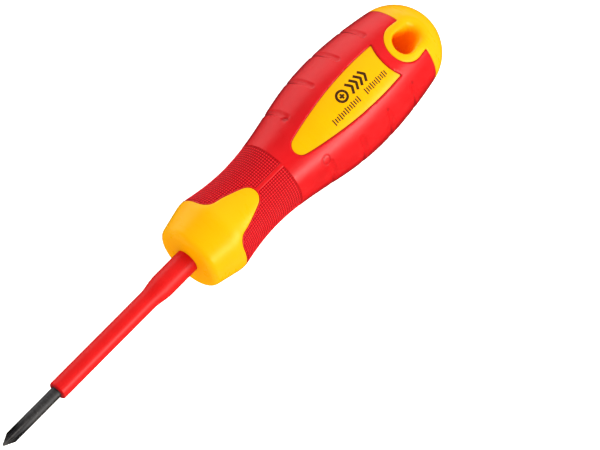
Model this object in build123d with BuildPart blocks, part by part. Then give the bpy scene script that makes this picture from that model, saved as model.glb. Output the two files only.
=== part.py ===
from build123d import *
import os
from math import cos, radians, sin, sqrt, tan

# Insulated screwdriver with a size 0 cross tip and a blade of the nominal 60 mm size.
# Frame: origin at the point of the tip, +X along the tool to the butt, +Z out of the front
# window of the handle. Millimetres and degrees. The back of the handle repeats the front.

# ---- stations along the tool, measured from the tip -----------------------------------------
SLEEVE_START = 16.95  # bare steel ends here, under the 18 mm limit for insulated tools
SLEEVE_STEP_START = 46.0
SLEEVE_STEP_END = 51.4
BLADE_LENGTH = 59.4  # tip to the front face of the handle
RIDGE_START = 66.2  # the nose cone turns over into the ridge
COLLAR_END = 68.05  # yellow nose ends, grip begins
RIDGE_END = 69.3
WAIST = 78.4
TONGUE_TIP = 79.0
TEXTURE_END = 87.6
WINDOW_START = 91.5
BELLY = 112.0
WINDOW_END = 120.7  # middle of the window's hollow rear edge
EYE_CENTRE = 128.4  # hanging eye
BUTT_CENTRE = 129.6  # centre of the round butt
BUTT_BORDER = 131.5  # grip ends, yellow butt begins
OVERALL_LENGTH = 140.5

# ---- blade ----------------------------------------------------------------------------------
SHANK_RADIUS = 1.39
TIP_FLAT_RADIUS = 0.22
TIP_HALF_ANGLE = 25.0
FLUTE_FLOOR = 0.17  # distance of a flute's floor from the axis at the tip
FLUTE_SLOPE = 11.5
FLUTE_OPENING = 92.0
FLUTE_ROOT_RADIUS = 0.12
FLUTE_CUTTER_LENGTH = 10.0
BLADE_END = 112.0
BLADE_END_CHAMFER = 0.5
WING_STATIONS = (96.0, 103.5)  # pressed wings that key the blade into the handle
WING_LENGTH = 6.0
WING_SPAN = 4.6
WING_THICKNESS = 1.5
WING_CHAMFER = 1.2

# ---- insulating sleeve ----------------------------------------------------------------------
SLEEVE_RADIUS = 2.27
SLEEVE_ROOT_RADIUS = 2.84
SLEEVE_EDGE = 0.5
SLEEVE_END = 84.0
ANCHOR_RING_STATIONS = (66.0, 72.0, 78.0)
ANCHOR_RING_RADIUS = 3.4
ANCHOR_RING_WIDTH = 1.6

# ---- handle outline: radius at each station -------------------------------------------------
NOSE_EDGE_RISE = 1.75
SHOULDER_STATION = 60.8
SHOULDER_RADIUS = 8.45
RIDGE_START_RADIUS = 9.67
RIDGE_END_RADIUS = 9.70
WAIST_RADIUS = 8.58
SWELL_POINTS = ((87.0, 8.98), (94.7, 10.26), (102.3, 11.74))
BELLY_RADIUS = 12.57
REAR_SLOPE_POINT = (120.0, 12.27)
BUTT_JOIN = 131.6
BUTT_MIDDLE_ANGLE = 40.0

# ---- two-colour moulding --------------------------------------------------------------------
GRIP_WALL = 2.0
WINDOW_DEPTH = 0.35
WINDOW_NOSE = (93.24, 2.23)  # end of the window's round front, where its flank begins
WINDOW_HALF_WIDTHS = ((97.6, 3.24), (102.1, 4.04), (106.5, 4.62), (111.5, 4.97), (116.8, 5.06))
WINDOW_CORNER = (122.15, 4.83)
TONGUE_NOSE = (77.4, 2.4)  # end of the tongue's round tip, where its flank begins
TONGUE_HALF_WIDTHS = ((74.6, 3.46), (71.8, 4.33), (69.3, 5.08), (68.4, 6.05))
COLLAR_SIDE = 7.4  # half-width at which the tongue's root meets the collar
EYE_RADIUS = 2.87
EYE_BOSS_RADIUS = 4.87
EYE_BOSS_TAPER = 6.5  # the boss narrows towards the butt by this angle on each side
NOTCH_RADIUS = 0.4  # where the boss runs into the butt
EYE_RELIEF_RADIUS = 1.9  # slanted relief that opens the eye towards the butt
EYE_RELIEF_START = 129.0
EYE_RELIEF_ANGLE = 12.0

# ---- grip surface ---------------------------------------------------------------------------
TEXTURE_DEPTH = 0.25
TEXTURE_MARGIN = 0.3
SEAM_STRIP = 0.9
GROOVE_STATIONS = (96.7, 105.6, 114.4, 123.2)
GROOVE_HALF_HEIGHTS = (8.2, 9.4, 9.8, 9.3)
GROOVE_WIDTH = 1.4
GROOVE_DEPTH = 0.35

WIDE = 40.0  # more than the handle's thickness, for cutters that pass right through
SKIN_SPARE = 0.5  # how far a layer cutter stands outside the surface


def handle_body(inset):
    """Solid of revolution that follows the handle's outline, `inset` below its surface."""
    front = BLADE_LENGTH + inset
    shoulder = (SHOULDER_STATION + inset / 2, SHOULDER_RADIUS - inset)
    ridge_start = (RIDGE_START, RIDGE_START_RADIUS - inset)
    ridge_end = (RIDGE_END, RIDGE_END_RADIUS - inset)
    cone_run = (ridge_start[0] - shoulder[0], ridge_start[1] - shoulder[1])
    swell = [(station, radius - inset) for station, radius in SWELL_POINTS]
    rear_slope = (REAR_SLOPE_POINT[0], REAR_SLOPE_POINT[1] - inset)
    butt_end = (OVERALL_LENGTH - inset, 0)
    butt_radius = butt_end[0] - BUTT_CENTRE
    join_run = BUTT_JOIN - BUTT_CENTRE
    butt_join = (BUTT_JOIN, sqrt(butt_radius**2 - join_run**2))
    butt_middle = (
        BUTT_CENTRE + butt_radius * cos(radians(BUTT_MIDDLE_ANGLE)),
        butt_radius * sin(radians(BUTT_MIDDLE_ANGLE)),
    )
    with BuildPart() as body:
        with BuildSketch(Plane.XZ):
            with BuildLine():
                Line(butt_end, (front, 0))
                face = Line((front, 0), (front, shoulder[1] - NOSE_EDGE_RISE))
                TangentArc(face @ 1, shoulder, tangent=face % 1)
                Line(shoulder, ridge_start)
                ridge = TangentArc(ridge_start, ridge_end, tangent=cone_run)
                Spline(
                    ridge_end,
                    (WAIST, WAIST_RADIUS - inset),
                    *swell,
                    (BELLY, BELLY_RADIUS - inset),
                    rear_slope,
                    butt_join,
                    tangents=(ridge % 1, (butt_join[1], -join_run)),
                )
                ThreePointArc(butt_join, butt_middle, butt_end)
            make_face()
        revolve(axis=Axis.X)
    return body.part


def skin(depth):
    """Layer of the handle from its surface to `depth` below it, with some to spare outside."""
    with BuildPart() as layer:
        add(handle_body(-SKIN_SPARE))
        add(handle_body(depth), mode=Mode.SUBTRACT)
    return layer.part


def through_prism(*outlines):
    """Outlines drawn from above, extruded right through the handle from front to back."""
    with BuildPart() as prism:
        with BuildSketch(Plane.XY.offset(-WIDE / 2)):
            for outline in outlines:
                add(outline)
        extrude(amount=WIDE)
    return prism.part


def grown(points, margin):
    """The inner points moved out by `margin`, each square to the run between its neighbours."""
    moved = []
    for before, at, after in zip(points, points[1:], points[2:]):
        run = (Vector(after) - Vector(before)).normalized()
        moved.append((at[0] + margin * run.Y, at[1] - margin * run.X))
    return moved


def nose_outline(margin):
    """Nose collar with its tongue, seen from above and grown by `margin` towards the grip."""
    front = BLADE_LENGTH - 1
    tip = (TONGUE_TIP + margin, 0)
    root = (COLLAR_END + margin, COLLAR_SIDE)
    nose, *flank_points = grown(
        ((TONGUE_TIP, 0), TONGUE_NOSE, *TONGUE_HALF_WIDTHS, (COLLAR_END, COLLAR_SIDE)), margin
    )
    with BuildSketch() as outline:
        with BuildLine():
            round_tip = TangentArc(tip, nose, tangent=(0, 1))
            Spline(nose, *flank_points, root, tangents=(round_tip % 1, (0, 1)))
            Polyline(root, (root[0], WIDE / 2), (front, WIDE / 2), (front, 0), tip)
        make_face()
        mirror(about=Plane.XZ)
    return outline.sketch


def window_outline():
    """Long window: round at its front end, hollow at its rear end, seen from above."""
    with BuildSketch() as outline:
        with BuildLine():
            round_front = TangentArc((WINDOW_START, 0), WINDOW_NOSE, tangent=(0, 1))
            Spline(
                WINDOW_NOSE,
                *WINDOW_HALF_WIDTHS,
                WINDOW_CORNER,
                tangents=(round_front % 1, (1, -0.05)),
            )
            TangentArc((WINDOW_END, 0), WINDOW_CORNER, tangent=(0, 1))
            Line((WINDOW_END, 0), (WINDOW_START, 0))
        make_face()
        mirror(about=Plane.XZ)
    return outline.sketch


def rear_outline():
    """Butt joined to the boss of the hanging eye, seen from above."""
    past_end = OVERALL_LENGTH + 1
    side_run = (sin(radians(EYE_BOSS_TAPER)), cos(radians(EYE_BOSS_TAPER)))
    side = (EYE_CENTRE + EYE_BOSS_RADIUS * side_run[0], EYE_BOSS_RADIUS * side_run[1])
    side_end = (past_end, side[1] - (past_end - side[0]) * tan(radians(EYE_BOSS_TAPER)))
    with BuildSketch() as outline:
        with BuildLine():
            boss_front = ThreePointArc(
                side, (EYE_CENTRE - EYE_BOSS_RADIUS, 0), (side[0], -side[1])
            )
            Polyline(boss_front @ 1, (side_end[0], -side_end[1]), side_end, boss_front @ 0)
        make_face()
        with Locations(((BUTT_BORDER + past_end) / 2, 0)):
            Rectangle(past_end - BUTT_BORDER, WIDE)
        border_ends = outline.vertices().filter_by(lambda v: abs(v.X - BUTT_BORDER) < 0.01)
        fillet([v for v in border_ends if abs(v.Y) < WIDE / 4], NOTCH_RADIUS)
    return outline.sketch


def pad_outline():
    """Textured waist: from the nose to the texture's end, less a plain strip along the middle."""
    length = TEXTURE_END - COLLAR_END
    with BuildSketch() as outline:
        with Locations((COLLAR_END + length / 2, 0)):
            Rectangle(length, WIDE)
            Rectangle(length, SEAM_STRIP, mode=Mode.SUBTRACT)
        add(nose_outline(TEXTURE_MARGIN), mode=Mode.SUBTRACT)
    return outline.sketch


os.makedirs("parts", exist_ok=True)

# ---- blade: hardened steel with a four-flute cross tip -----------------------------------------
tip_cone_length = (SHANK_RADIUS - TIP_FLAT_RADIUS) / tan(radians(TIP_HALF_ANGLE))
flute_run = (cos(radians(FLUTE_SLOPE)), 0, sin(radians(FLUTE_SLOPE)))
flute_height = 2 * SHANK_RADIUS
flute_half_mouth = flute_height * tan(radians(FLUTE_OPENING / 2))

with BuildPart() as flute_cutter:
    flute_plane = Plane(origin=(0, 0, FLUTE_FLOOR), x_dir=(0, 1, 0), z_dir=flute_run)
    with BuildSketch(flute_plane.offset(-1)) as flute_section:
        with BuildLine():
            Polyline(
                (0, 0),
                (flute_half_mouth, flute_height),
                (-flute_half_mouth, flute_height),
                close=True,
            )
        make_face()
        fillet(flute_section.vertices().sort_by(Axis.Z).first, FLUTE_ROOT_RADIUS)
    extrude(amount=FLUTE_CUTTER_LENGTH)

with BuildPart() as blade:
    with BuildSketch(Plane.XZ):
        with BuildLine():
            Polyline(
                (0, 0),
                (0, TIP_FLAT_RADIUS),
                (tip_cone_length, SHANK_RADIUS),
                (BLADE_END - BLADE_END_CHAMFER, SHANK_RADIUS),
                (BLADE_END, SHANK_RADIUS - BLADE_END_CHAMFER),
                (BLADE_END, 0),
                close=True,
            )
        make_face()
    revolve(axis=Axis.X)
    for turn in (45, 135, 225, 315):
        add(flute_cutter.part.rotate(Axis.X, turn), mode=Mode.SUBTRACT)
    for station, wing_plane in zip(WING_STATIONS, (Plane.XY, Plane.XZ)):
        with BuildSketch(wing_plane) as wing_outline:
            with Locations((station, 0)):
                Rectangle(WING_LENGTH, WING_SPAN)
            chamfer(wing_outline.vertices(), WING_CHAMFER)
        extrude(amount=WING_THICKNESS / 2, both=True)
blade.part.label = "blade"
export_step(blade.part, "parts/blade.step")

# ---- insulating sleeve: moulded on the blade, held in the handle by anchor rings ---------------
with BuildPart() as blade_sleeve:
    with BuildSketch(Plane.XZ):
        with BuildLine():
            mouth = Line((SLEEVE_START, SHANK_RADIUS), (SLEEVE_START, SLEEVE_RADIUS - SLEEVE_EDGE))
            edge = TangentArc(
                mouth @ 1,
                (SLEEVE_START + SLEEVE_EDGE, SLEEVE_RADIUS),
                tangent=mouth % 1,
            )
            Line(edge @ 1, (SLEEVE_STEP_START, SLEEVE_RADIUS))
            Spline(
                (SLEEVE_STEP_START, SLEEVE_RADIUS),
                (SLEEVE_STEP_END, SLEEVE_ROOT_RADIUS),
                tangents=((1, 0), (1, 0)),
            )
            Polyline(
                (SLEEVE_STEP_END, SLEEVE_ROOT_RADIUS),
                (SLEEVE_END, SLEEVE_ROOT_RADIUS),
                (SLEEVE_END, SHANK_RADIUS),
                (SLEEVE_START, SHANK_RADIUS),
            )
        make_face()
        for station in ANCHOR_RING_STATIONS:
            with Locations((station, (SHANK_RADIUS + ANCHOR_RING_RADIUS) / 2)):
                Rectangle(ANCHOR_RING_WIDTH, ANCHOR_RING_RADIUS - SHANK_RADIUS)
    revolve(axis=Axis.X)
blade_sleeve.part.label = "blade_sleeve"
export_step(blade_sleeve.part, "parts/blade_sleeve.step")

# ---- handle core: hard yellow plastic, showing at the nose, tongues, windows, eye and butt -----
yellow_flush = (nose_outline(0), rear_outline())
yellow_sunk = window_outline()

with BuildPart() as eye_cutter:
    with BuildSketch(Plane.XY.offset(-WIDE / 2)):
        with Locations((EYE_CENTRE, 0)):
            Circle(EYE_RADIUS)
    extrude(amount=WIDE)
    for face_side in (1, -1):
        relief_run = (sin(radians(EYE_RELIEF_ANGLE)), 0, face_side * cos(radians(EYE_RELIEF_ANGLE)))
        with BuildSketch(Plane(origin=(EYE_RELIEF_START, 0, 0), x_dir=(0, 1, 0), z_dir=relief_run)):
            Circle(EYE_RELIEF_RADIUS)
        extrude(amount=WIDE / 2)

with BuildPart() as flush_areas:
    add(through_prism(*yellow_flush))
    add(handle_body(0), mode=Mode.INTERSECT)

with BuildPart() as window_areas:
    add(through_prism(yellow_sunk))
    add(handle_body(WINDOW_DEPTH), mode=Mode.INTERSECT)

with BuildPart() as handle_core:
    add(handle_body(GRIP_WALL))
    add(flush_areas.part)
    add(window_areas.part)
    add(eye_cutter.part, mode=Mode.SUBTRACT)
    add(blade_sleeve.part, mode=Mode.SUBTRACT)
    add(blade.part, mode=Mode.SUBTRACT)
handle_core.part.label = "handle_core"
export_step(handle_core.part, "parts/handle_core.step")

# ---- grip: soft red overmoulding with textured waist pads and four grooves on each flank -------
with BuildPart() as texture_recess:
    add(through_prism(pad_outline()))
    add(skin(TEXTURE_DEPTH), mode=Mode.INTERSECT)

with BuildPart() as flank_grooves:
    with BuildSketch(Plane.XZ.offset(-WIDE / 2)):
        for station, half_height in zip(GROOVE_STATIONS, GROOVE_HALF_HEIGHTS):
            with Locations((station, 0)):
                SlotOverall(2 * half_height, GROOVE_WIDTH, rotation=90)
    extrude(amount=WIDE)
    add(skin(GROOVE_DEPTH), mode=Mode.INTERSECT)

with BuildPart() as grip_overmould:
    add(handle_body(0))
    add(handle_body(GRIP_WALL), mode=Mode.SUBTRACT)
    add(through_prism(*yellow_flush, yellow_sunk), mode=Mode.SUBTRACT)
    add(texture_recess.part, mode=Mode.SUBTRACT)
    add(flank_grooves.part, mode=Mode.SUBTRACT)
grip_overmould.part.label = "grip_overmould"
export_step(grip_overmould.part, "parts/grip_overmould.step")
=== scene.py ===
import math

import bpy
import numpy as np
from mathutils import Matrix, Vector


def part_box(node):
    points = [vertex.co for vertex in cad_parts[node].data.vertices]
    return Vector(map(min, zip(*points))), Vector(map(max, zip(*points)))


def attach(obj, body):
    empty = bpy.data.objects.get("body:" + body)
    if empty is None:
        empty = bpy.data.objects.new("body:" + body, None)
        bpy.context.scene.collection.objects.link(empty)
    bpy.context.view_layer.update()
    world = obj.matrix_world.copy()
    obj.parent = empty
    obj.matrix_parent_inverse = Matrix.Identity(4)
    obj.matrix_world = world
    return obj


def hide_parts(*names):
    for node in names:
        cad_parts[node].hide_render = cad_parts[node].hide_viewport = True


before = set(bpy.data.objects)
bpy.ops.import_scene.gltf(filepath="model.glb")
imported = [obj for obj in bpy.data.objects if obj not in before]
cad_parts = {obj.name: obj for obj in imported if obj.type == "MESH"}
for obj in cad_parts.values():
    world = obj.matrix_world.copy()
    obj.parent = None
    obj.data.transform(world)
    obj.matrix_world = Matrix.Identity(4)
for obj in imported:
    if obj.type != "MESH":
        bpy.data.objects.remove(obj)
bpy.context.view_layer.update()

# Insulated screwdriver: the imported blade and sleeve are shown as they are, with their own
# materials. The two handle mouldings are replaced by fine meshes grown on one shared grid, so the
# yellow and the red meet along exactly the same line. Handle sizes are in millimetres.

MM = 0.001


def packed_ends(node):
    """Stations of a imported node's front and rear ends, in millimetres."""
    return [round(corner[0] / MM, 2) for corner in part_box(node)]


# ---- handle outline, front face to butt (station along the tool, radius) -----------------------
FACE_STATION, BUTT_END = packed_ends("handle_core")
SLEEVE_RADIUS = 2.84
FACE_FLAT_RADIUS = 6.7
SHOULDER = (60.8, 8.45)
RIDGE_START = (66.2, 9.67)
RIDGE_END = (69.3, 9.70)
SWELL = ((78.4, 8.58), (87.0, 8.98), (94.7, 10.26), (102.3, 11.74), (112.0, 12.57), (120.0, 12.27))
BUTT_CENTRE = 129.6
BUTT_JOIN = 131.6

# ---- areas of the two mouldings, seen from above -----------------------------------------------
COLLAR_END = 68.05
COLLAR_SIDE = 7.4
TONGUE_SIDE = ((68.4, 6.05), (69.3, 5.08), (71.8, 4.33), (74.6, 3.46), (77.4, 2.4))
TONGUE_TIP = 79.0
WINDOW_START = 91.5
WINDOW_SIDE = ((93.24, 2.23), (97.6, 3.24), (102.1, 4.04), (106.5, 4.62), (111.5, 4.97), (116.8, 5.06))
WINDOW_CORNER = (122.15, 4.83)
WINDOW_END = 120.7
BORDER = 131.5
NOTCH_RADIUS = 0.4
EYE_CENTRE = 128.4
EYE_BOSS_RADIUS = 4.87
EYE_BOSS_TAPER = math.radians(6.5)
EYE_RADIUS = 2.87
EYE_TAIL_CENTRE = 131.8
EYE_TAIL_RADIUS = 2.1

# ---- relief ------------------------------------------------------------------------------------
GRIP_WALL = 2.0
WINDOW_DEPTH = 0.35
TEXTURE_END = 87.6
TEXTURE_DEPTH = 0.25
TEXTURE_MARGIN = 0.3
BUMP_PITCH = 0.6
BUMP_HEIGHT = 0.22
STUD_COLUMNS = 4
STRIP_HALF_WIDTH = 0.42
WINDOW_SURROUND = (WINDOW_START - 1, EYE_CENTRE - EYE_BOSS_RADIUS - 0.6)
RED_EDGE = 0.15
RED_WINDOW_EDGE = 0.24
SEAM_SINK = 0.10
SEAM_SINK_WIDTH = 0.16
EYE_RIM = (0.6, 2.4)  # rounding of the eye's edge at its front and at its tail
EYE_SHADE_REACH = 0.55  # how far the painted orange shade inside the eye runs up that rounding
GROOVE_STATIONS = (96.7, 105.6, 114.4, 123.2)
GROOVE_HALF_ANGLES = (math.radians(51), math.radians(46))  # on the +Y flank and on the -Y flank
GROOVE_DEPTHS = (0.34, 0.2)  # on the same two flanks
GROOVE_SHADES = (0.5, 0.3)
GROOVE_SIDE_SHARE = 0.35  # share of the depth that is left at the parting line
GROOVE_SIDE_FADE = (0.1, 0.35)  # radians from the parting line
GROOVE_SHADE_FADE = (0.40, 0.20)
GROOVE_HALF_WIDTH = 0.82
PIT = (96.0, 6.7)
RING_MARK = (96.05, -6.27)
RING_MARK_RADIUS = 0.85
DOT_MARKS = ((114.5, -8.1), (123.5, -7.7))
PIT_DEPTH, MARK_DEPTH = 0.26, 0.08
PIT_SHADE, RING_SHADE, DOT_SHADE = 0.55, 0.35, 0.5

# ---- the shared grid: rows along the outline, columns round it -----------------------------------
COLUMNS = 360
TEXTURE_START = 67.5  # rows fall on the studs from here
NOSE_STEP = 0.4
BODY_STEP = 0.3
GROOVE_STEP = 0.12
EYE_STEP = 0.22
GROOVE_REACH = 0.95
EYE_STEPS_END = 134.5
POLE_GAP = 0.15

# ---- socket for the sleeve and the blade --------------------------------------------------------
ANCHOR_RINGS = (66.0, 72.0, 78.0)
ANCHOR_RADIUS = 3.42
ANCHOR_HALF_WIDTH = 0.8
SLEEVE_END = 84.0
SHANK_RADIUS = 1.4
WING_STATIONS = (96.0, 103.5)
WING_RADIUS = 2.35
WING_HALF_LENGTH = 3.05
BLADE_END = 112.02

# ---- print --------------------------------------------------------------------------------------
INK_TOP = 0.02
INK_FOOT = -0.02
SIGN_CENTRE = (107.9, 1.25)
SIGN_RADIUS = 1.3
SIGN_CROSS_REACH = 0.66
SIGN_WIDTHS = (0.6, 0.5)
CHEVRON_START = 110.3
CHEVRON_COUNT = 4
CHEVRON_PITCH = 1.42
CHEVRON_LENGTH = 0.95
CHEVRON_RISE = 1.5
CHEVRON_WIDTH = 0.66
TICK_ROWS = ((102.4, 13), (112.8, 11))
TICK_PITCH = 0.66
TICK_LEVEL = -1.85
TICK_REACHES = (0.8, 0.6, 0.6)
TICK_WIDTH = 0.3

# ---- studio (metres and degrees) ----------------------------------------------------------------
CAMERA_TILT = 21.5
CAMERA_ROLL = 45.4266
CAMERA_DISTANCE = 0.9
CAMERA_AIM = (0.08391, -0.01212, 0.0)
CAMERA_LENS = 244.1
LIGHT_DISTANCE = 0.8
FLOOR_LEVEL = -0.01226
FLOOR_SIZE = 6.0
WORLD_STRENGTH = 0.72
WORLD_REFLECTED = 0.03  # strength of the surroundings in reflections
FLOOR_GLOW = 0.2
FLOOR_SEEN_GLOW = 1.0
FLOOR_REFLECTED = (0.0, 3.2)  # glow of the floor in reflections, rising across the next span of Y
FLOOR_REFLECTED_FROM = (0.02, 0.09)
LIGHT_TARGET = (0.08, 0.0, 0.0)


# ---- curves ------------------------------------------------------------------------------------
def unit(vector):
    vector = np.asarray(vector, float)
    return vector / np.linalg.norm(vector)


def smooth_curve(points, start_tangent, end_tangent, per_span=60):
    """Cubic curve through the points with the given end directions, as a dense polyline."""
    points = np.asarray(points, float)
    spans = np.linalg.norm(np.diff(points, axis=0), axis=1)
    count = len(points)
    system = np.zeros((count, count))
    right = np.zeros((count, 2))
    system[0, 0] = system[-1, -1] = 1.0
    right[0] = unit(start_tangent)
    right[-1] = unit(end_tangent)
    for i in range(1, count - 1):
        before, after = 1 / spans[i - 1], 1 / spans[i]
        system[i, i - 1], system[i, i], system[i, i + 1] = before, 2 * (before + after), after
        right[i] = 3 * ((points[i] - points[i - 1]) * before**2 + (points[i + 1] - points[i]) * after**2)
    slopes = np.linalg.solve(system, right)
    pieces = []
    for i in range(count - 1):
        t = np.linspace(0, 1, per_span, endpoint=False)[:, None]
        a, b = points[i], points[i + 1]
        ma, mb = slopes[i] * spans[i], slopes[i + 1] * spans[i]
        blend = (2 * t**3 - 3 * t**2 + 1) * a + (t**3 - 2 * t**2 + t) * ma
        pieces.append(blend + (3 * t**2 - 2 * t**3) * b + (t**3 - t**2) * mb)
    pieces.append(points[-1:])
    return np.concatenate(pieces)


def tangent_arc(start, tangent, end, count=24):
    """Circular arc from start to end that leaves start along the tangent."""
    start, end, tangent = np.asarray(start, float), np.asarray(end, float), unit(tangent)
    chord = end - start
    normal = np.array([-tangent[1], tangent[0]])
    offset = chord @ chord / (2 * (chord @ normal))
    centre = start + normal * offset
    from_angle = math.atan2(*(start - centre)[::-1])
    turn = 2 * math.atan2(chord @ normal, chord @ tangent)
    angles = from_angle + np.linspace(0, turn, count)
    return centre + abs(offset) * np.stack([np.cos(angles), np.sin(angles)], 1)


def end_direction(polyline):
    return unit(polyline[-1] - polyline[-2])


def handle_outline():
    """Dense (station, radius) polyline from the sleeve's mouth to the pole of the butt."""
    face = np.array([(FACE_STATION, SLEEVE_RADIUS), (FACE_STATION, FACE_FLAT_RADIUS)])
    edge = tangent_arc(face[-1], (0, 1), SHOULDER)
    ridge = tangent_arc(RIDGE_START, np.subtract(RIDGE_START, SHOULDER), RIDGE_END)
    butt_radius = BUTT_END - BUTT_CENTRE
    join_run = BUTT_JOIN - BUTT_CENTRE
    join = (BUTT_JOIN, math.sqrt(butt_radius**2 - join_run**2))
    swell = smooth_curve([RIDGE_END, *SWELL, join], end_direction(ridge), (join[1], -join_run))
    angles = np.linspace(math.atan2(join[1], join_run), 0, 120)
    butt = np.stack([BUTT_CENTRE + butt_radius * np.cos(angles), butt_radius * np.sin(angles)], 1)
    return np.concatenate([face, edge[1:], ridge, swell[1:], butt[1:]])


OUTLINE = handle_outline()
OUTLINE_RUN = np.concatenate([[0], np.cumsum(np.linalg.norm(np.diff(OUTLINE, axis=0), axis=1))])
_direction = np.gradient(OUTLINE, OUTLINE_RUN, axis=0)
_direction /= np.linalg.norm(_direction, axis=1)[:, None]
OUTLINE_NORMAL = np.stack([-_direction[:, 1], _direction[:, 0]], 1)


def on_outline(run):
    """Station, radius and outward normal of the outline at a distance along it."""
    station = np.interp(run, OUTLINE_RUN, OUTLINE[:, 0])
    radius = np.interp(run, OUTLINE_RUN, OUTLINE[:, 1])
    normal = [np.interp(run, OUTLINE_RUN, OUTLINE_NORMAL[:, k]) for k in (0, 1)]
    return station, radius, normal[0], normal[1]


# ---- signed distances to the areas, negative inside ---------------------------------------------
def mirrored(polyline):
    """Closed outline from its upper half, which starts and ends on the middle line."""
    lower = polyline[::-1] * np.array([1, -1])
    return np.concatenate([polyline, lower[1:-1]])


def distance_to_outline(x, y, outline):
    """Signed distance of each point to a closed outline."""
    distance = np.full(x.shape, 1e9)
    inside = np.zeros(x.shape, bool)
    ends = np.roll(outline, -1, axis=0)
    for (ax, ay), (bx, by) in zip(outline, ends):
        dx, dy = bx - ax, by - ay
        length2 = dx * dx + dy * dy
        if length2 < 1e-12:
            continue
        t = np.clip(((x - ax) * dx + (y - ay) * dy) / length2, 0, 1)
        distance = np.minimum(distance, (x - ax - t * dx) ** 2 + (y - ay - t * dy) ** 2)
        if ay != by:
            crosses = (ay > y) != (by > y)
            inside ^= crosses & (x < (bx - ax) * (y - ay) / (by - ay) + ax)
    distance = np.sqrt(distance)
    return np.where(inside, -distance, distance)


def nose_area():
    tip = tangent_arc((TONGUE_TIP, 0), (0, 1), TONGUE_SIDE[-1])[::-1]
    side = smooth_curve([(COLLAR_END, COLLAR_SIDE), *TONGUE_SIDE], (0, -1), end_direction(tip[:2]),
                        per_span=14)
    corner = np.array([(FACE_STATION - 5, 0), (FACE_STATION - 5, 20), (COLLAR_END, 20)])
    return mirrored(np.concatenate([corner, side, tip[1:]]))


def window_area():
    front = tangent_arc((WINDOW_START, 0), (0, 1), WINDOW_SIDE[0])
    side = smooth_curve([*WINDOW_SIDE, WINDOW_CORNER], end_direction(front), (1, -0.05), per_span=14)
    rear = tangent_arc((WINDOW_END, 0), (0, 1), side[-1])[::-1]
    return mirrored(np.concatenate([front, side[1:], rear[1:]]))


NOSE = nose_area()
WINDOW = window_area()


def nose_distance(x, y):
    return distance_to_outline(x, y, NOSE)


def window_distance(x, y):
    return distance_to_outline(x, y, WINDOW)


def rear_distance(x, y):
    """Butt and eye boss together, with a small radius where one runs into the other."""
    round_front = np.hypot(x - EYE_CENTRE, y) - EYE_BOSS_RADIUS
    along, side = x - EYE_CENTRE, np.abs(y)
    lean, level = math.sin(EYE_BOSS_TAPER), math.cos(EYE_BOSS_TAPER)
    flank = level * side + lean * along - EYE_BOSS_RADIUS
    boss = np.where(level * along - lean * side < 0, round_front, flank)
    butt = BORDER - x
    merge = np.clip(NOTCH_RADIUS - np.abs(boss - butt), 0, None)
    return np.minimum(boss, butt) - merge**2 / (4 * NOTCH_RADIUS)


def eye_distance(x, y):
    """Mouth of the hanging eye: a round hole that narrows towards the butt."""
    gap = EYE_TAIL_CENTRE - EYE_CENTRE
    lean = (EYE_RADIUS - EYE_TAIL_RADIUS) / gap
    level = math.sqrt(1 - lean**2)
    along, side = x - EYE_CENTRE, np.abs(y)
    cross = level * along - lean * side
    flank = level * side + lean * along - EYE_RADIUS
    tail = np.hypot(along - gap, side) - EYE_TAIL_RADIUS
    return np.where(cross < 0, np.hypot(along, side) - EYE_RADIUS,
                    np.where(cross > gap * level, tail, flank))


def yellow_distance(x, y):
    """Signed distance to the nearest border between yellow and red, negative in the yellow."""
    result = np.full(x.shape, 5.0)
    areas = (
        (nose_distance, x < TONGUE_TIP + 2),
        (window_distance, (x > WINDOW_START - 2) & (x < WINDOW_CORNER[0] + 2)),
        (rear_distance, x > EYE_CENTRE - EYE_BOSS_RADIUS - 2),
    )
    for area, near in areas:
        result[near] = np.minimum(result[near], area(x[near], y[near]))
    return result


# ---- the shared grid ----------------------------------------------------------------------------
def run_at(station):
    """Distance along the outline at a station behind the front face."""
    body = OUTLINE[:, 0] > FACE_STATION + 0.01
    return np.interp(station, OUTLINE[body, 0], OUTLINE_RUN[body])


def grid_rows():
    """Distances along the outline: fine in the texture, the grooves and the eye, coarser elsewhere."""
    texture_start, texture_stop = float(run_at(TEXTURE_START)), float(run_at(TEXTURE_END + 0.1))
    texture_stop = texture_start + BUMP_PITCH * math.ceil((texture_stop - texture_start) / BUMP_PITCH)
    stops = [(0.0, NOSE_STEP), (texture_start, BUMP_PITCH / 4), (texture_stop, BODY_STEP)]
    for station in GROOVE_STATIONS:
        step_after = EYE_STEP if station == GROOVE_STATIONS[-1] else BODY_STEP
        stops.append((float(run_at(station - GROOVE_REACH)), GROOVE_STEP))
        stops.append((float(run_at(station + GROOVE_REACH)), step_after))
    stops += [(float(run_at(EYE_STEPS_END)), BODY_STEP), (OUTLINE_RUN[-1] - POLE_GAP, None)]
    rows = []
    for (start, step), (stop, _) in zip(stops, stops[1:]):
        count = max(1, round((stop - start) / step))
        rows.append(np.linspace(start, stop, count, endpoint=False))
    rows.append([stops[-1][0]])
    return np.concatenate(rows)


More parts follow.
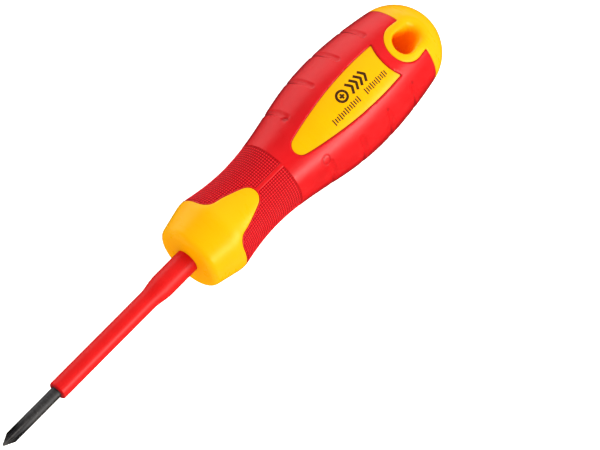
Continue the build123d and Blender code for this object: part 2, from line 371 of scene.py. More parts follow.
def snap_to_border(area, run, angle):
    """Moves the vertices nearest an area's border onto it; returns the area's value everywhere."""
    def field(at_run, at_angle):
        station, radius, _, _ = on_outline(at_run)
        return area(station, radius * np.sin(at_angle))

    values = field(run, angle)
    marked = np.zeros(values.shape, bool)
    for one, other in (((slice(None, -1), slice(None)), (slice(1, None), slice(None))),
                       ((slice(None), slice(None, -1)), (slice(None), slice(1, None)))):
        crossing = values[one] * values[other] < 0
        nearer = np.abs(values[one]) <= np.abs(values[other])
        marked[one] |= crossing & nearer
        marked[other] |= crossing & ~nearer
    on_run, on_angle = run[marked], angle[marked]
    step = 1e-3
    for _ in range(6):
        radius = on_outline(on_run)[1]
        value = field(on_run, on_angle)
        slope_run = (field(on_run + step, on_angle) - value) / step
        slope_round = (field(on_run, on_angle + step / radius) - value) / step
        steepness = slope_run**2 + slope_round**2 + 1e-9
        on_run = on_run - value * slope_run / steepness
        on_angle = on_angle - value * slope_round / steepness / radius
    run[marked], angle[marked] = on_run, on_angle
    values[marked] = 0.0
    return values


class Grid:
    """Rows along the outline by columns round it. Column 0 is the middle of the front face."""

    def __init__(self):
        quarter = COLUMNS // 4
        rows = grid_rows()
        self.rows = len(rows)
        across = np.arange(-quarter, quarter + 1) * 2 * math.pi / COLUMNS
        run, angle = np.meshgrid(rows, across, indexing="ij")
        yellow = snap_to_border(yellow_distance, run, angle)
        eye = snap_to_border(eye_distance, run, angle)
        columns = np.arange(COLUMNS)
        front = (columns <= quarter) | (columns >= 3 * quarter)
        source = np.where(front, (columns + quarter) % COLUMNS, 3 * quarter - columns)
        self.run = run[:, source]
        self.angle = np.where(front, angle[:, source], math.pi - angle[:, source])
        self.yellow, self.eye = yellow[:, source], eye[:, source]
        self.station, self.radius, self.normal_s, self.normal_r = on_outline(self.run)
        self.y = self.radius * np.sin(self.angle)
        self.front = np.repeat(front[None, :], self.rows, axis=0)
        self.column = np.repeat(columns[None, :], self.rows, axis=0)

    def mirror(self, ids):
        """The same points on the other face of the handle."""
        row, column = np.divmod(ids, COLUMNS)
        return row * COLUMNS + (COLUMNS // 2 - column) % COLUMNS

    def points(self, height):
        """Positions of all grid vertices, and the pole's, at a height above the outline."""
        s = self.station + height * self.normal_s
        r = self.radius + height * self.normal_r
        flat = np.stack([s, r * np.sin(self.angle), r * np.cos(self.angle)], -1).reshape(-1, 3)
        pole = [[BUTT_END + float(height[-1].mean()), 0, 0]]
        return np.concatenate([flat, pole])

    def cells(self):
        """All faces seen from outside, as quads and triangles split along the borders."""
        i, j = np.meshgrid(np.arange(self.rows - 1), np.arange(COLUMNS), indexing="ij")
        k = (j + 1) % COLUMNS
        corners = [i * COLUMNS + j, (i + 1) * COLUMNS + j, (i + 1) * COLUMNS + k, i * COLUMNS + k]
        quads = np.stack(corners, -1).reshape(-1, 4)
        first = np.zeros(len(quads), bool)
        second = np.zeros(len(quads), bool)
        for values in (self.yellow.ravel(), self.eye.ravel()):
            at = values[quads]
            first |= at[:, 1] * at[:, 3] < 0
            second |= at[:, 0] * at[:, 2] < 0
        second &= ~first
        last = (self.rows - 1) * COLUMNS + np.arange(COLUMNS)
        fan = np.stack([last, np.full(COLUMNS, self.rows * COLUMNS), np.roll(last, -1)], -1)
        triangles = np.concatenate([quads[first][:, [0, 1, 2]], quads[first][:, [0, 2, 3]],
                                    quads[second][:, [0, 1, 3]], quads[second][:, [1, 2, 3]], fan])
        return quads[~first & ~second], triangles

    def centre_value(self, area, faces):
        """The area's value in the middle of each face."""
        run = np.append(self.run.ravel(), OUTLINE_RUN[-1])[faces]
        sine = np.append(np.sin(self.angle).ravel(), 0.0)[faces]
        station, radius, _, _ = on_outline(run.mean(1))
        return area(station, radius * sine.mean(1))


def edges_of(faces):
    """Directed edges of a list of face arrays."""
    pairs = []
    for block in faces:
        for k in range(block.shape[1]):
            pairs.append(np.stack([block[:, k], block[:, (k + 1) % block.shape[1]]], 1))
    return np.concatenate(pairs)


def shared_border(faces, other):
    """Directed edges of the first faces that the other faces have the other way round."""
    mine, theirs = edges_of(faces), edges_of(other)
    size = int(max(mine.max(), theirs.max())) + 1
    return mine[np.isin(mine[:, 0] * size + mine[:, 1], theirs[:, 1] * size + theirs[:, 0])]


def wall(border, top, bottom):
    """Quads that join a border's edges in one layer to the same edges in another."""
    a, b = border[:, 0], border[:, 1]
    return np.stack([b + top, a + top, a + bottom, b + bottom], 1)


def loops_of(border):
    """The border's edges as closed loops of vertices."""
    follow = dict(border.tolist())
    loops = []
    while follow:
        start, at = follow.popitem()
        loop = [start]
        while at != start:
            loop.append(at)
            at = follow.pop(at)
        loops.append(np.array(loop))
    return loops


# ---- relief --------------------------------------------------------------------------------------
def rounding(distance, radius):
    """How far an edge rounded to this radius lies below the surface at a distance from it."""
    inward = np.clip(radius - distance, 0, radius)
    return radius - np.sqrt(np.maximum(radius**2 - inward**2, 0))


def ramp(value, start, end):
    t = np.clip((value - start) / (end - start), 0, 1)
    return t * t * (3 - 2 * t)


def near_window(grid):
    """True round the window, clear of the waist and of the eye's boss."""
    return (grid.station > WINDOW_SURROUND[0]) & (grid.station < WINDOW_SURROUND[1])


def eye_rim_radius(x):
    """Rounding of the eye's edge, which softens towards the butt."""
    tight, soft = EYE_RIM
    return tight + (soft - tight) * ramp(x, EYE_CENTRE, EYE_TAIL_CENTRE + 1.4)


def yellow_relief(grid):
    """Height of the yellow moulding's skin: sunk in the window, rounded at the hanging eye."""
    at_seam = -SEAM_SINK * ramp(grid.yellow, -SEAM_SINK_WIDTH, 0.0)
    sunk = np.where(near_window(grid), -WINDOW_DEPTH, at_seam)
    return sunk - rounding(np.maximum(grid.eye, 0), eye_rim_radius(grid.station))


def texture_margin(grid):
    """Distance inside the edge of the textured pads, negative outside."""
    clear_of_nose = nose_distance(grid.station, grid.y) - TEXTURE_MARGIN
    return np.minimum(np.minimum(clear_of_nose, TEXTURE_END - grid.station),
                      np.abs(grid.y) - STRIP_HALF_WIDTH)


def bump_field(grid):
    """Rounded studs on a square lattice, 0 in the valleys and 1 on top."""
    along = (grid.run - run_at(TEXTURE_START)) / BUMP_PITCH
    return np.sqrt(np.abs(np.sin(math.pi * along) * np.sin(math.pi * grid.column / STUD_COLUMNS)))


def groove_depth(grid):
    """Depth of the four thumb grooves on each flank, shallow at the parting line, and their shade."""
    profile = np.zeros(grid.station.shape)
    from_side = np.abs(np.abs(np.mod(grid.angle + math.pi, 2 * math.pi) - math.pi) - math.pi / 2)
    half_angle = np.where(grid.y > 0, *GROOVE_HALF_ANGLES)
    full_depth = GROOVE_SIDE_SHARE + (1 - GROOVE_SIDE_SHARE) * ramp(from_side, *GROOVE_SIDE_FADE)
    full_depth = full_depth * np.where(grid.y > 0, *GROOVE_DEPTHS)
    for station in GROOVE_STATIONS:
        past_end = np.maximum(from_side - half_angle, 0) * grid.radius
        away = np.hypot(grid.station - station, past_end) / GROOVE_HALF_WIDTH
        profile = np.maximum(profile, np.clip(1 - away**2, 0, 1))
    shade = ramp(from_side, *GROOVE_SHADE_FADE) * ramp(profile, 0.2, 0.8)
    shade = shade * np.where(grid.y > 0, *GROOVE_SHADES)
    return full_depth * profile, shade


def mark_depth(grid):
    """Small moulding marks on the front face, a pit, an ejector ring and two dots, and their shade."""
    x, y = grid.station, grid.y
    pit = ramp(np.hypot(x - PIT[0], y - PIT[1]), 0.85, 0.3)
    ring = ramp(np.abs(np.hypot(x - RING_MARK[0], y - RING_MARK[1]) - RING_MARK_RADIUS), 0.25, 0.05)
    dots = sum(ramp(np.hypot(x - at[0], y - at[1]), 0.5, 0.15) for at in DOT_MARKS)
    depth = PIT_DEPTH * pit + MARK_DEPTH * ring + MARK_DEPTH * dots
    shade = PIT_SHADE * pit + RING_SHADE * ring + DOT_SHADE * dots
    return np.where(grid.front, depth, 0), np.where(grid.front, shade, 0)


def red_relief(grid):
    """Height of the grip's skin, with the values its material reads."""
    edge = np.where(near_window(grid), RED_WINDOW_EDGE, RED_EDGE)
    height = -rounding(np.maximum(grid.yellow, 0), edge)
    margin = texture_margin(grid)
    pad = ramp(margin, 0.0, 0.14)
    studs = bump_field(grid) * ramp(margin, 0.05, 0.25)
    height = height - TEXTURE_DEPTH * pad + BUMP_HEIGHT * studs * pad
    groove, groove_shade = groove_depth(grid)
    mark, mark_shade = mark_depth(grid)
    height = height - groove - mark
    return height, {"stud": np.where(pad > 0.5, studs, 1.0), "pad": pad,
                    "groove": np.maximum(groove_shade, mark_shade)}


# ---- meshes --------------------------------------------------------------------------------------
def build_object(name, points, faces, sharp_angle, values=None):
    """Mesh object from points in millimetres and face arrays; unused points are left out."""
    used = np.unique(np.concatenate([block.ravel() for block in faces]))
    place = np.full(len(points), -1)
    place[used] = np.arange(len(used))
    mesh = bpy.data.meshes.new(name)
    polygons = [row for block in faces for row in place[block].tolist()]
    mesh.from_pydata((points[used] * MM).tolist(), [], polygons)
    for label, data in (values or {}).items():
        attribute = mesh.attributes.new(label, "FLOAT", "POINT")
        attribute.data.foreach_set("value", np.ascontiguousarray(data[used], dtype=np.float32))
    mesh.shade_smooth()
    mesh.set_sharp_from_angle(angle=math.radians(sharp_angle))
    mesh.validate()
    mesh.update()
    thing = bpy.data.objects.new(name, mesh)
    bpy.context.scene.collection.objects.link(thing)
    return thing


def cavity_profile():
    """(station, radius) of the socket round the sleeve and the blade, from the face inwards."""
    profile = []
    for ring in ANCHOR_RINGS:
        near, far = ring - ANCHOR_HALF_WIDTH, ring + ANCHOR_HALF_WIDTH
        profile += [(near, SLEEVE_RADIUS), (near, ANCHOR_RADIUS),
                    (far, ANCHOR_RADIUS), (far, SLEEVE_RADIUS)]
    profile += [(SLEEVE_END, SLEEVE_RADIUS), (SLEEVE_END, SHANK_RADIUS)]
    for wing in WING_STATIONS:
        near, far = wing - WING_HALF_LENGTH, wing + WING_HALF_LENGTH
        profile += [(near, SHANK_RADIUS), (near, WING_RADIUS),
                    (far, WING_RADIUS), (far, SHANK_RADIUS)]
    profile += [(BLADE_END, SHANK_RADIUS)]
    return profile


def cavity(grid, first_id):
    """Vertices and faces of the socket, which starts from the grid's first row."""
    angle = grid.angle[0]
    rings, blocks = [], []
    before = np.arange(COLUMNS)
    for n, (station, radius) in enumerate(cavity_profile()):
        rings.append(np.stack([np.full(COLUMNS, station), radius * np.sin(angle),
                               radius * np.cos(angle)], 1))
        ids = first_id + n * COLUMNS + np.arange(COLUMNS)
        blocks.append(np.stack([before, np.roll(before, -1), np.roll(ids, -1), ids], 1))
        before = ids
    rings.append([[BLADE_END, 0, 0]])
    centre = first_id + len(cavity_profile()) * COLUMNS
    fan = np.stack([before, np.roll(before, -1), np.full(COLUMNS, centre)], 1)
    return np.concatenate(rings), blocks + [fan]


def eye_tube(grid, border, top, first_id):
    """Wall of the hanging eye, from the front mouth through the round waist to the back mouth."""
    half_rings = 14
    front = next(loop for loop in loops_of(border) if top[loop[0], 2] > 0)
    bearing = np.arctan2(top[front, 1], top[front, 0] - EYE_CENTRE)
    waist = np.stack([EYE_CENTRE + EYE_RADIUS * np.cos(bearing), EYE_RADIUS * np.sin(bearing),
                      np.zeros(len(front))], 1)
    mouths = (top[front], top[grid.mirror(front)])
    points, blocks = [], []
    before = front
    count = 2 * half_rings
    for n in range(1, count):
        t = abs(1 - n / half_rings)
        points.append(waist + (mouths[n > half_rings] - waist) * t)
        ids = first_id + (n - 1) * len(front) + np.arange(len(front))
        blocks.append((before, ids))
        before = ids
    blocks.append((before, grid.mirror(front)))
    faces = [np.stack([np.roll(a, -1), a, b, np.roll(b, -1)], 1) for a, b in blocks]
    return np.concatenate(points), faces


def build_handle():
    """The yellow core and the red grip, from one grid."""
    grid = Grid()
    cells = grid.cells()
    is_open = [grid.centre_value(eye_distance, block) < 0 for block in cells]
    is_yellow = [grid.centre_value(yellow_distance, block) < 0 for block in cells]
    holes = [block[gone] for block, gone in zip(cells, is_open)]
    yellow = [block[mine & ~gone] for block, mine, gone in zip(cells, is_yellow, is_open)]
    red = [block[~mine & ~gone] for block, mine, gone in zip(cells, is_yellow, is_open)]

    under = grid.points(np.full(grid.station.shape, -GRIP_WALL))
    layer = len(under)
    yellow_height = yellow_relief(grid)
    yellow_top = grid.points(yellow_height)
    socket, socket_faces = cavity(grid, 2 * layer)
    tube, tube_faces = eye_tube(grid, shared_border(yellow, holes), yellow_top,
                                2 * layer + len(socket))
    faces = yellow + [block + layer for block in red]
    faces += [wall(shared_border(yellow, red), 0, layer)] + socket_faces + tube_faces
    points = np.concatenate([yellow_top, under, socket, tube])
    # Distance into the yellow from its border with the red; both materials paint a thin line of shade
    # along that border from it.
    seam_shade = np.full(len(points), 5.0)
    seam_shade[:layer - 1] = -grid.yellow.ravel()
    hollow = np.zeros(len(points))
    # Mask of the eye's painted orange shade and glow: up the rim's rounding and all through the tube.
    hollow[:layer - 1] = ramp(grid.eye, eye_rim_radius(grid.station) * EYE_SHADE_REACH, 0.0).ravel()
    hollow[2 * layer + len(socket):] = 1.0
    core = build_object("core_moulding", points, faces, 42, {"seam_shade": seam_shade, "hollow": hollow})

    red_height, values = red_relief(grid)
    # Distance from the yellow border, which the grip reads for its painted line of shade.
    values["seam_shade"] = grid.yellow
    red_top = grid.points(red_height)
    faces = red + [block[:, ::-1] + layer for block in red] + [wall(shared_border(red, yellow), 0, layer)]
    points = np.concatenate([red_top, under])
    values = {label: np.concatenate([data.ravel(), [0.0], np.zeros(layer)])
              for label, data in values.items()}
    grip = build_object("grip_moulding", points, faces, 50, values)
    return core, grip


# ---- print ---------------------------------------------------------------------------------------
def window_point(x, y, lift):
    """A point on the window's sunk floor on the front face, in millimetres."""
    station, radius, normal_s, normal_r = on_outline(run_at(x))
    height = lift - WINDOW_DEPTH
    angle = np.arcsin(y / radius)
    r = radius + height * normal_r
    return (float(station + height * normal_s), float(r * np.sin(angle)), float(r * np.cos(angle)))


def plate(outlines, points, faces):
    """Adds a thin plate between two matching outlines of points, such as a stroke's two sides."""
    left, right, closed = outlines
    start, count = len(points), len(left)
    for (lx, ly), (rx, ry) in zip(left, right):
        points += [window_point(lx, ly, INK_TOP), window_point(rx, ry, INK_TOP),
                   window_point(rx, ry, INK_FOOT), window_point(lx, ly, INK_FOOT)]
    spans = count if closed else count - 1
    for n in range(spans):
        a, b = start + 4 * n, start + 4 * ((n + 1) % count)
        faces += [(a + k, a + (k + 1) % 4, b + (k + 1) % 4, b + k) for k in range(4)]
    if not closed:
        end = start + 4 * (count - 1)
        faces += [(start + 3, start + 2, start + 1, start), (end, end + 1, end + 2, end + 3)]


def stroke(path, width, closed=False, step=0.25):
    """Left and right sides of a stroke of even width along a path of (x, y) corners."""
    path = np.asarray(path + path[:1] if closed else path, float)
    spots = []
    for a, b in zip(path, path[1:]):
        count = max(1, round(float(np.linalg.norm(b - a)) / step))
        spots += [a + (b - a) * n / count for n in range(count)]
    if not closed:
        spots.append(path[-1])
    spots = np.array(spots)
    if closed:
        direction = np.roll(spots, -1, axis=0) - np.roll(spots, 1, axis=0)
    else:
        direction = np.gradient(spots, axis=0)
    direction /= np.linalg.norm(direction, axis=1)[:, None]
    side = np.stack([-direction[:, 1], direction[:, 0]], 1) * width / 2
    return spots + side, spots - side, closed


def ring_path(centre, radius, count=40):
    return [(centre[0] + radius * math.cos(2 * math.pi * n / count),
             centre[1] + radius * math.sin(2 * math.pi * n / count)) for n in range(count)]


def cross_strokes(centre, reach, width):
    x, y = centre
    return [stroke([(x - reach, y), (x + reach, y)], width),
            stroke([(x, y - reach), (x, y + reach)], width)]


def print_strokes():
    """Plain marks in place of the handle's print: a cross-recess sign, chevrons and tick rows."""
    ring_width, cross_width = SIGN_WIDTHS
    marks = [stroke(ring_path(SIGN_CENTRE, SIGN_RADIUS), ring_width, closed=True)]
    marks += cross_strokes(SIGN_CENTRE, SIGN_CROSS_REACH, cross_width)
    middle = SIGN_CENTRE[1]
    for n in range(CHEVRON_COUNT):
        x = CHEVRON_START + CHEVRON_PITCH * n
        path = [(x, middle - CHEVRON_RISE), (x + CHEVRON_LENGTH, middle), (x, middle + CHEVRON_RISE)]
        marks.append(stroke(path, CHEVRON_WIDTH))
    for start, ticks in TICK_ROWS:
        for n in range(ticks):
            x = start + TICK_PITCH * n
            reach = TICK_REACHES[n % len(TICK_REACHES)]
            marks.append(stroke([(x, TICK_LEVEL - reach), (x, TICK_LEVEL + reach)], TICK_WIDTH))
    return marks


def build_print():
    points, faces = [], []
    for outlines in print_strokes():
        plate(outlines, points, faces)
    blocks = [np.array(faces)]
    return build_object("window_print", np.array(points), blocks, 40)


# ---- materials -----------------------------------------------------------------------------------
class Shader:
    """A node material with a Principled shader, built up call by call."""

    def __init__(self, name):
        self.material = bpy.data.materials.new(name)
        self.material.use_nodes = True
        self.tree = self.material.node_tree
        self.surface = self.tree.nodes["Principled BSDF"]
        self.coordinates = self.tree.nodes.new("ShaderNodeTexCoord").outputs["Object"]

    def node(self, kind, **inputs):
        made = self.tree.nodes.new(kind)
        for key, value in inputs.items():
            self.feed(made.inputs[key.replace("_", " ")], value)
        return made

    def feed(self, socket, value):
        if isinstance(value, bpy.types.NodeSocket):
            self.tree.links.new(value, socket)
        else:
            socket.default_value = value

    def noise(self, scale, detail=3.0, stretch=None):
        vector = self.coordinates
        if stretch:
            mapping = self.node("ShaderNodeMapping", Vector=vector, Scale=stretch)
            vector = mapping.outputs["Vector"]
        return self.node("ShaderNodeTexNoise", Vector=vector, Scale=scale, Detail=detail).outputs["Fac"]

    def attribute(self, name):
        made = self.tree.nodes.new("ShaderNodeAttribute")
        made.attribute_name = name
        return made.outputs["Fac"]

    def place(self, axis):
        """The surface point's coordinate along one axis, in metres."""
        return self.node("ShaderNodeSeparateXYZ", Vector=self.coordinates).outputs[axis]

    def calculate(self, operation, first, second=0.0):
        made = self.tree.nodes.new("ShaderNodeMath")
        made.operation = operation
        self.feed(made.inputs[0], first)
        self.feed(made.inputs[1], second)
        return made.outputs[0]

    def remap(self, value, low, high, to_low, to_high):
        made = self.node("ShaderNodeMapRange", Value=value, From_Min=low, From_Max=high,
                         To_Min=to_low, To_Max=to_high)
        return made.outputs["Result"]

    def blend(self, factor, first, second):
        made = self.tree.nodes.new("ShaderNodeMix")
        made.data_type = "RGBA"
        self.feed(made.inputs[0], factor)
        self.feed(made.inputs[6], first)
        self.feed(made.inputs[7], second)
        return made.outputs[2]

    def bump(self, height, strength, distance, normal=None):
        made = self.node("ShaderNodeBump", Height=height, Strength=strength, Distance=distance)
        if normal is not None:
            self.feed(made.inputs["Normal"], normal)
        return made.outputs["Normal"]

    def grazing(self, start, end, strength):
        """Rises from 0 to the strength as the surface turns away from the viewer."""
        facing = self.node("ShaderNodeLayerWeight", Blend=0.5).outputs["Facing"]
        return self.remap(facing, start, end, 0, strength)

    def finish(self, **inputs):
        for key, value in inputs.items():
            self.feed(self.surface.inputs[key.replace("_", " ")], value)
        return self.material


def rgb(red, green, blue):
    return (red, green, blue, 1.0)


YELLOW = (rgb(1.0, 0.44, 0.0003), rgb(1.0, 0.465, 0.0006))
# Painted shade along the border with the red, and painted shade at the yellow's silhouette.
YELLOW_SEAM_SHADE = rgb(0.60, 0.11, 0.0)
YELLOW_GRAZING_SHADE = rgb(0.45, 0.22, 0.002)
YELLOW_SHINE = rgb(1.0, 0.85, 0.3)
# Painted shade inside the hanging eye, deeper orange at the front and lighter towards the tail, and the
# painted glow of light bounced inside it.
EYE_INSIDE_SHADE = (rgb(0.82, 0.25, 0.0), rgb(1.0, 0.42, 0.0))
EYE_INSIDE_SPAN = (127.0, 133.4)
EYE_BOUNCE = rgb(1.0, 0.10, 0.0)
EYE_GLOW = 0.13
GRIP_RED = (rgb(0.64, 0.004, 0.007), rgb(0.70, 0.006, 0.010))
# Painted shade in the valleys between the studs and a painted highlight on their tops.
STUD_SHADE_TO_HIGHLIGHT = (rgb(0.42, 0.0, 0.003), rgb(0.90, 0.018, 0.030))
# Painted shade: along the border with the yellow, in the grooves and moulding marks, and at the
# silhouette.
GRIP_SEAM_SHADE = rgb(0.30, 0.002, 0.001)
GRIP_GROOVE_SHADE = rgb(0.30, 0.001, 0.006)
GRIP_GRAZING_SHADE = rgb(0.14, 0.002, 0.006)
SLEEVE_RED = (rgb(0.66, 0.003, 0.003), rgb(0.72, 0.005, 0.005))
# Painted shade at the sleeve's mouth and at its silhouette.
SLEEVE_MOUTH_SHADE = rgb(0.20, 0.002, 0.008)
SLEEVE_GRAZING_SHADE = rgb(0.18, 0.002, 0.006)
SLEEVE_MOUTH_DEPTH = 0.3
STEEL = (rgb(0.026, 0.025, 0.027), rgb(0.050, 0.048, 0.051))
STEEL_WORN = rgb(0.13, 0.125, 0.125)
# Painted highlight on the tip's ribs and painted shade in its flutes.
STEEL_RIB_HIGHLIGHT = rgb(0.16, 0.155, 0.155)
STEEL_FLUTE_SHADE = rgb(0.004, 0.004, 0.005)
TIP_SHADING_SPAN = (4.5, 8.5)  # stations between which the painted rib highlight and flute shade of the tip fade out
FLUTE_SPAN = (0.15, 0.6)  # product of y and z, in square millimetres, beside a rib and in a flute
INK = (rgb(0.042, 0.016, 0.001), rgb(0.075, 0.030, 0.002))
FLOOR_WHITE = (rgb(0.90, 0.90, 0.90), rgb(0.92, 0.92, 0.92))


def yellow_material():
    """Glossy yellow nylon: faint flow mottling, fine grain, painted shade along its border with the red
    and at the silhouette, and a painted orange shade and glow inside the hanging eye.
    """
    m = Shader("yellow_nylon")
    mottle = m.remap(m.noise(160, 4), 0.3, 0.7, 0, 1)
    base = m.blend(mottle, *YELLOW)
    # Painted shade: the yellow darkens in a thin line where it meets the red.
    seam_shade = m.remap(m.attribute("seam_shade"), 0.02, 0.14, 0.95, 0.0)
    base = m.blend(seam_shade, base, YELLOW_SEAM_SHADE)
    # Painted shade: darker where the surface turns away from the camera, a dark line along the
    # silhouette.
    base = m.blend(m.grazing(0.70, 0.92, 0.6), base, YELLOW_GRAZING_SHADE)
    # Painted shade and bounce light: the eye's inside turns orange, lighter towards the tail.
    hollow = m.attribute("hollow")
    towards_tail = m.remap(m.place("X"), EYE_INSIDE_SPAN[0] * MM, EYE_INSIDE_SPAN[1] * MM, 0, 1)
    base = m.blend(hollow, base, m.blend(towards_tail, *EYE_INSIDE_SHADE))
    scuffs = m.noise(900, 5, (1, 0.25, 0.25))
    roughness = m.remap(scuffs, 0.35, 0.75, 0.26, 0.38)
    grain = m.bump(m.noise(5200, 2), 0.08, 0.00005)
    normal = m.bump(m.noise(240, 3), 0.08, 0.0003, grain)
    # The eye's inside also glows a little: painted bounce light.
    return m.finish(Base_Color=base, Roughness=roughness, Normal=normal, IOR=1.5,
                    Specular_IOR_Level=m.remap(m.grazing(0.4, 0.7, 1), 0, 1, 0.16, 0.02),
                    Specular_Tint=YELLOW_SHINE, Emission_Color=EYE_BOUNCE,
                    Emission_Strength=m.remap(hollow, 0, 1, 0.0, EYE_GLOW))


def red_grip_material():
    """Red elastomer: satin where smooth and rougher on the textured pads, with painted shade in the
    valleys between the studs, a painted highlight on their tops, and painted shade along the border with
    the yellow, in the grooves and marks and at the silhouette.
    """
    m = Shader("red_elastomer")
    mottle = m.remap(m.noise(220, 4), 0.3, 0.7, 0, 1)
    smooth = m.blend(mottle, *GRIP_RED)
    # Painted shade in the valleys between the studs and a painted highlight on their tops.
    stud = m.attribute("stud")
    studs = m.blend(m.remap(stud, 0.2, 0.95, 0, 1), *STUD_SHADE_TO_HIGHLIGHT)
    pad = m.attribute("pad")
    base = m.blend(pad, smooth, studs)
    # Painted shade: the red darkens in a thin line where it meets the yellow.
    seam_shade = m.remap(m.attribute("seam_shade"), 0.02, 0.14, 0.9, 0.0)
    base = m.blend(seam_shade, base, GRIP_SEAM_SHADE)
    # Painted shade in the thumb grooves near the parting line and in the moulding marks.
    base = m.blend(m.attribute("groove"), base, GRIP_GROOVE_SHADE)
    # Painted shade: darker where the surface turns away from the camera, a dark line along the
    # silhouette.
    edge = m.grazing(0.66, 0.9, 0.85)
    base = m.blend(edge, base, GRIP_GRAZING_SHADE)
    scuffs = m.remap(m.noise(1100, 5, (0.3, 1, 1)), 0.35, 0.75, 0.0, 0.08)
    roughness = m.calculate("ADD", scuffs, m.remap(pad, 0, 1, 0.30, 0.42))
    grain = m.bump(m.noise(6500, 2), 0.12, 0.00004)
    return m.finish(Base_Color=base, Roughness=roughness, Normal=grain, IOR=1.5,
                    Specular_IOR_Level=m.remap(edge, 0, 1, m.remap(pad, 0, 1, 0.13, 0.06), 0.01))


def sleeve_material():
    """Gloss red insulation with a slightly orange cast and fine lengthwise draw lines, and painted shade
    at its mouth and along its silhouette.
    """
    m = Shader("red_insulation_gloss")
    mottle = m.remap(m.noise(300, 4), 0.3, 0.7, 0, 1)
    base = m.blend(mottle, *SLEEVE_RED)
    mouth = packed_ends("blade_sleeve")[0]
    # Painted shade: the sleeve darkens towards its mouth round the blade.
    at_mouth = m.remap(m.place("X"), mouth * MM, (mouth + SLEEVE_MOUTH_DEPTH) * MM, 0.55, 0.0)
    base = m.blend(at_mouth, base, SLEEVE_MOUTH_SHADE)
    # Painted shade: darker where the surface turns away from the camera, a dark line along the
    # silhouette.
    base = m.blend(m.grazing(0.70, 0.95, 0.7), base, SLEEVE_GRAZING_SHADE)
    lines = m.noise(700, 3, (0.05, 1, 1))
    roughness = m.remap(lines, 0.3, 0.7, 0.38, 0.46)
    normal = m.bump(m.noise(420, 3, (0.4, 1, 1)), 0.06, 0.0002)
    return m.finish(Base_Color=base, Roughness=roughness, Normal=normal, IOR=1.5,
                    Specular_IOR_Level=0.12)


def steel_material():
    """Black-finished steel: fine turning lines, lighter worn specks, and near the tip a painted highlight
    on the ribs and painted shade in the flutes.
    """
    m = Shader("black_finished_steel")
    turning = m.noise(5200, 4, (1, 0.06, 0.06))
    tone = m.remap(turning, 0.3, 0.7, 0, 1)
    base = m.blend(tone, *STEEL)
    worn = m.remap(m.noise(2600, 6), 0.60, 0.72, 0.0, 0.55)
    base = m.blend(worn, base, STEEL_WORN)
    off_rib = m.calculate("ABSOLUTE", m.calculate("MULTIPLY", m.place("Y"), m.place("Z")))
    # Near the tip: painted shade in the flutes and a painted highlight on the ribs.
    near_tip = m.remap(m.place("X"), TIP_SHADING_SPAN[0] * MM, TIP_SHADING_SPAN[1] * MM, 1, 0)
    rib_side, flute_floor = FLUTE_SPAN[0] * MM**2, FLUTE_SPAN[1] * MM**2
    in_flute = m.calculate("MULTIPLY", near_tip, m.remap(off_rib, rib_side, flute_floor, 0, 0.9))
    on_rib = m.calculate("MULTIPLY", near_tip, m.remap(off_rib, 0, rib_side, 0.6, 0))
    base = m.blend(in_flute, base, STEEL_FLUTE_SHADE)
    base = m.blend(on_rib, base, STEEL_RIB_HIGHLIGHT)
    roughness = m.remap(turning, 0.3, 0.7, 0.46, 0.62)
    normal = m.bump(turning, 0.25, 0.00003)
    return m.finish(Base_Color=base, Metallic=0.3, Roughness=roughness, Normal=normal,
                    Specular_IOR_Level=0.2)


def ink_material():
    """Dark brown pad-printed ink, a little uneven."""
    m = Shader("print_ink")
    patchy = m.remap(m.noise(3200, 4), 0.3, 0.7, 0, 1)
    base = m.blend(patchy, *INK)
    return m.finish(Base_Color=base, Roughness=m.remap(patchy, 0, 1, 0.4, 0.6), Specular_IOR_Level=0.1,
                    Normal=m.bump(patchy, 0.1, 0.00001))


def floor_material():
    """White to the camera; in reflections it is white on one side of the tool and dark on the other."""
    m = Shader("studio_floor")
    cloud = m.remap(m.noise(6, 2), 0.3, 0.7, 0, 1)
    base = m.blend(cloud, *FLOOR_WHITE)
    rays = m.tree.nodes.new("ShaderNodeLightPath")
    in_mirror = rays.outputs["Is Glossy Ray"]
    mirrored_glow = m.remap(m.place("Y"), *FLOOR_REFLECTED_FROM, *FLOOR_REFLECTED)
    glow = m.remap(rays.outputs["Is Camera Ray"], 0, 1, FLOOR_GLOW, FLOOR_SEEN_GLOW)
    glow = m.remap(in_mirror, 0, 1, glow, mirrored_glow)
    return m.finish(Base_Color=m.blend(in_mirror, base, rgb(0, 0, 0)), Roughness=0.9,
                    Specular_IOR_Level=0.1, Emission_Color=rgb(1, 1, 1), Emission_Strength=glow)


def dress(piece, material):
    """Gives a piece one material, in its first slot or in every slot it has."""
    if not piece.material_slots:
        piece.data.materials.append(material)
    for slot in piece.material_slots:
        slot.material = material


# ---- studio --------------------------------------------------------------------------------------
def add_light(name, bearing, elevation, power, size, tint=(1, 1, 1), reflected=True, lighting=True):
    """A soft light round the tool, at a bearing in the floor plane and a height angle."""
    bearing, elevation = math.radians(bearing), math.radians(elevation)
    away = Vector((math.cos(elevation) * math.cos(bearing),
                   math.cos(elevation) * math.sin(bearing), math.sin(elevation)))
    data = bpy.data.lights.new(name, "AREA")
    data.shape = "RECTANGLE"
    data.size, data.size_y = size
    data.energy = power
    data.color = tint
    light = bpy.data.objects.new(name, data)
    light.location = Vector(LIGHT_TARGET) + away * LIGHT_DISTANCE
    light.rotation_euler = away.to_track_quat("Z", "Y").to_euler()
    light.visible_glossy = reflected
    light.visible_diffuse = lighting
    bpy.context.scene.collection.objects.link(light)


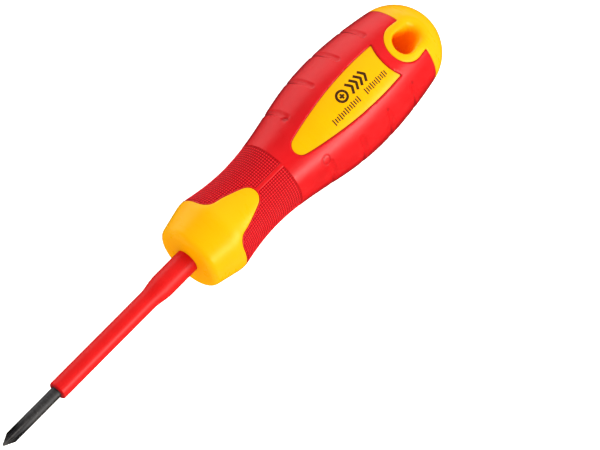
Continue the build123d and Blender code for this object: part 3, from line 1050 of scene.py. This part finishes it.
def build_world():
    """Even white surroundings that are nearly dark in reflections."""
    world = bpy.data.worlds.new("studio")
    world.use_nodes = True
    tree = world.node_tree
    tree.nodes["Background"].inputs["Color"].default_value = (1, 1, 1, 1)
    seen = tree.nodes.new("ShaderNodeLightPath")
    strength = tree.nodes.new("ShaderNodeMapRange")
    strength.inputs["To Min"].default_value = WORLD_STRENGTH
    strength.inputs["To Max"].default_value = WORLD_REFLECTED
    tree.links.new(seen.outputs["Is Glossy Ray"], strength.inputs["Value"])
    tree.links.new(strength.outputs["Result"], tree.nodes["Background"].inputs["Strength"])
    bpy.context.scene.world = world


def build_floor():
    half = FLOOR_SIZE / 2
    mesh = bpy.data.meshes.new("studio_floor")
    corners = [(-half, -half, FLOOR_LEVEL), (half, -half, FLOOR_LEVEL),
               (half, half, FLOOR_LEVEL), (-half, half, FLOOR_LEVEL)]
    mesh.from_pydata(corners, [], [(0, 1, 2, 3)])
    floor = bpy.data.objects.new("studio_floor", mesh)
    bpy.context.scene.collection.objects.link(floor)
    floor.data.materials.append(floor_material())


def build_lights():
    """Warm light for the colours, and separate lights that only make the highlights."""
    add_light("main", -64, 38, 4.25, (0.9, 0.26), tint=(1.0, 0.93, 0.6), reflected=False)
    add_light("gloss", -78, 38, 13.0, (0.9, 0.2), lighting=False)
    add_light("top", 22, 54, 2.7, (0.9, 0.5), reflected=False)
    add_light("front", -155, 22, 1.2, (0.9, 0.4), tint=(1.0, 0.8, 0.4), reflected=False)
    add_light("edge", 70, 10, 3.2, (0.9, 0.3), lighting=False)


def build_camera():
    """Looks down on the tool, tipped towards the tip and rolled so that it lies on a diagonal."""
    tilt, roll = math.radians(CAMERA_TILT), math.radians(CAMERA_ROLL)
    across = Vector((math.cos(roll) * math.cos(tilt), -math.sin(roll), math.cos(roll) * math.sin(tilt)))
    up = Vector((math.sin(roll) * math.cos(tilt), math.cos(roll), math.sin(roll) * math.sin(tilt)))
    back = Vector((-math.sin(tilt), 0, math.cos(tilt)))
    place = Vector(CAMERA_AIM) + back * CAMERA_DISTANCE
    data = bpy.data.cameras.new("camera")
    data.sensor_width = 36.0
    data.lens = CAMERA_LENS
    data.clip_start = 0.01
    camera = bpy.data.objects.new("camera", data)
    camera.matrix_world = Matrix([(across[k], up[k], back[k], place[k]) for k in range(3)]
                                 + [(0, 0, 0, 1)])
    bpy.context.scene.collection.objects.link(camera)
    bpy.context.scene.camera = camera


# ---- the object ----------------------------------------------------------------------------------
def build_tool():
    core, grip = build_handle()
    dress(core, yellow_material())
    dress(grip, red_grip_material())
    print_marks = build_print()
    dress(print_marks, ink_material())
    dress(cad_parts["blade"], steel_material())
    dress(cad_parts["blade_sleeve"], sleeve_material())
    for piece, slot in ((core, "yellow_core"), (grip, "red_grip"), (print_marks, "yellow_core")):
        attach(piece, "root")
    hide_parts("handle_core")
    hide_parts("grip_overmould")


build_tool()
build_world()
build_floor()
build_lights()
build_camera()
bpy.context.scene.view_settings.view_transform = "Standard"
